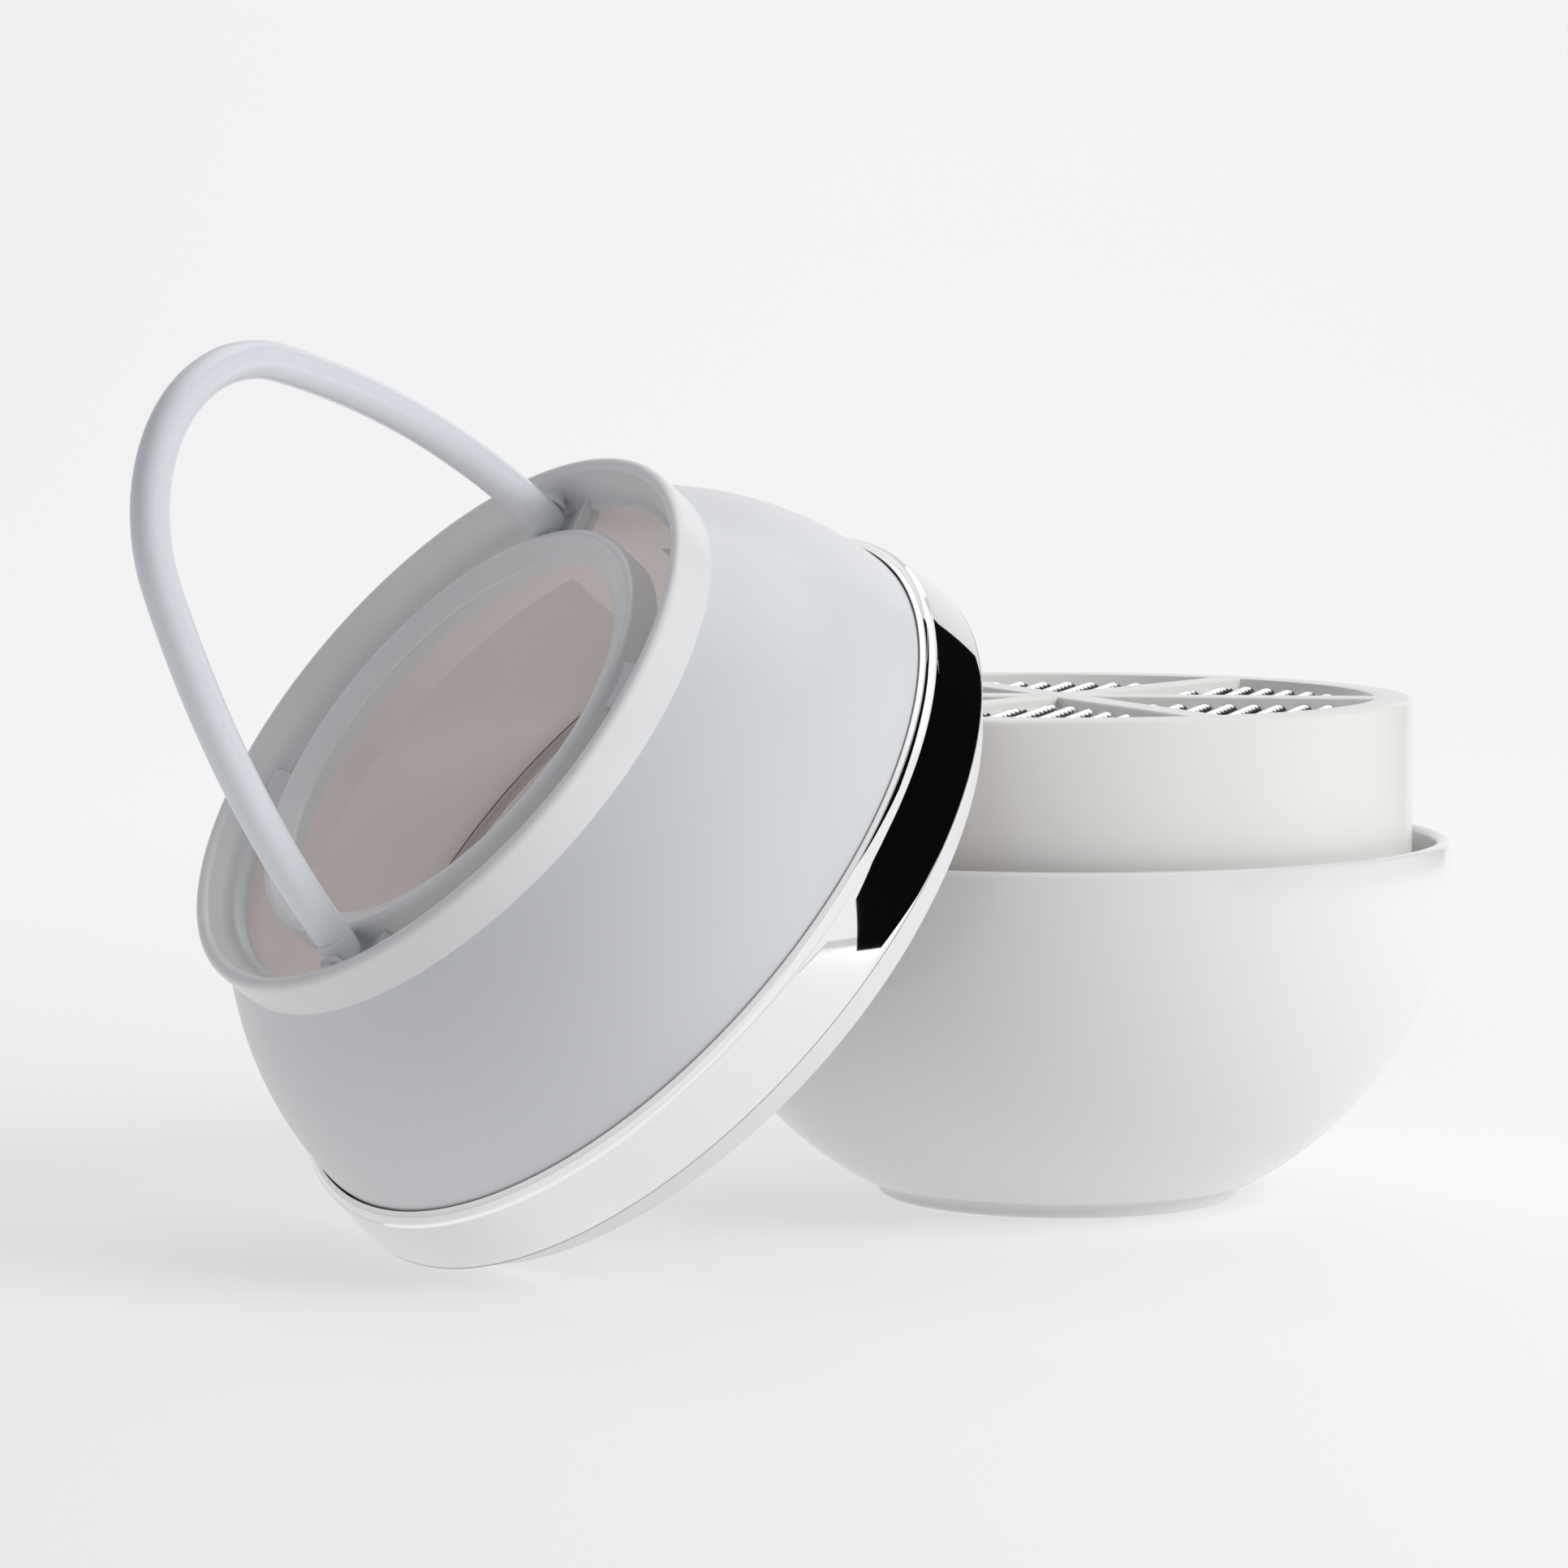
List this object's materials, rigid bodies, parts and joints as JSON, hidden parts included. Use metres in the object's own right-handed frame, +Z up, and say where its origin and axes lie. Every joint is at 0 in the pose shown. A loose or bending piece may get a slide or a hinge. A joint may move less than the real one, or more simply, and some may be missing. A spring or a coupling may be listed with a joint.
{
  "type": "rotary cheese grater",
  "caption": "Round bowl with a lift-out grater drum and a leaning rotary dome lid that has a chrome ring, an open top and a hinged bail handle.",
  "frame": {"origin": "middle of the foot pad's underside, on the bowl's axis", "axes": "+Z up along the bowl's axis; the lid leans at the bowl's -X side, with its open top facing -X, -Y and up"},
  "size_m": [0.2384, 0.2095, 0.1652],
  "materials": {
    "bowl_white": "satin white",
    "pad_grey": "soft matte",
    "drum_ivory": "fine satin",
    "grating_steel": "bright pressed steel",
    "screw_steel": "plain steel",
    "ring_white": "satin white",
    "ring_chrome": "mirror",
    "trim_silver": "satin silver",
    "strip_white": "slippery",
    "dome_white": "high gloss",
    "frame_white": "gloss",
    "inner_warm_white": "satin",
    "handle_white": "satin coat"
  },
  "bodies": {
    "bowl": {"bowl": "bowl_white", "foot_pad": "pad_grey"},
    "drum": {"drum_frame": "drum_ivory", "grating_plate": "grating_steel", "plate_clamp_ring": "drum_ivory", "clamp_screws": "screw_steel", "hub_rivet": "screw_steel"},
    "ring": {"glide_ring": "ring_white", "chrome_ring": "ring_chrome", "trim_ring": "trim_silver", "bearing_strip": "strip_white", "ring_screws": "screw_steel"},
    "dome": {"dome_shell": "dome_white", "top_frame": "frame_white", "chamber_sleeve": "inner_warm_white", "frame_screws": "screw_steel"},
    "handle": {"handle_tube": "handle_white", "handle_tip_a": "handle_white", "pivot_pin_a": "screw_steel", "pivot_washer_a": "strip_white", "handle_tip_b": "handle_white", "pivot_pin_b": "screw_steel", "pivot_washer_b": "strip_white"}
  },
  "joints": [
    {"name": "drum_lift", "type": "slide", "parent": "bowl", "child": "drum", "axis": [0, 0, 1], "range_m": [0, 0.08]},
    {"name": "lid_lift", "type": "slide", "parent": "drum", "child": "ring", "axis": [-0.657, -0.4116, 0.6316], "range_m": [0, 0.12]},
    {"name": "dome_turn", "type": "hinge", "parent": "ring", "child": "dome", "pos_m": [-0.0734, -0.0529, 0.0573], "axis": [-0.657, -0.4116, 0.6316], "continuous": true},
    {"name": "handle_fold", "type": "hinge", "parent": "dome", "child": "handle", "pos_m": [-0.11339, -0.07796, 0.09575], "axis": [0.3368, 0.5893, 0.7343], "range_deg": [-81, 59]}
  ]
}
